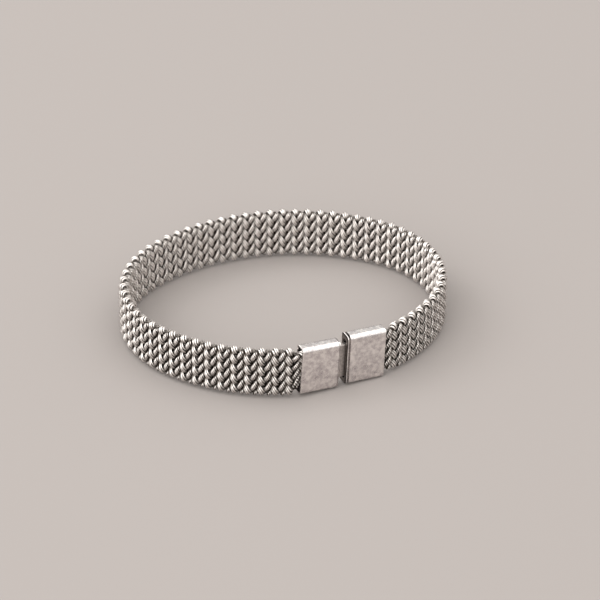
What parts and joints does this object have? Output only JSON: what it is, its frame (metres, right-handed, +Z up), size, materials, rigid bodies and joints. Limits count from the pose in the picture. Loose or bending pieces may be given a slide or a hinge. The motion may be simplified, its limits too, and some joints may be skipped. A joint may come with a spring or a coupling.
{
  "type": "woven steel bracelet",
  "caption": "Flat woven wire bracelet, a closed oval loop standing on its edge, joined at the front by a two-part box clasp.",
  "frame": {"origin": "centre of the loop, on the plane that its lower edge stands on", "axes": "+Z up along the axis that a wrist goes through, -Y towards the clasp, +X along the clasp to its right as seen from in front"},
  "size_m": [0.0712, 0.0582, 0.0122],
  "materials": {
    "woven_wire": "bright drawn wire, darker in the gaps of the weave",
    "polished_shell": "polished, finely scuffed",
    "tongue_metal": "satin, in shadow"
  },
  "bodies": {
    "root": {"woven_band": "woven_wire", "clasp_left_shell": "polished_shell", "clasp_right_shell": "polished_shell", "clasp_tongue": "tongue_metal"}
  },
  "joints": []
}
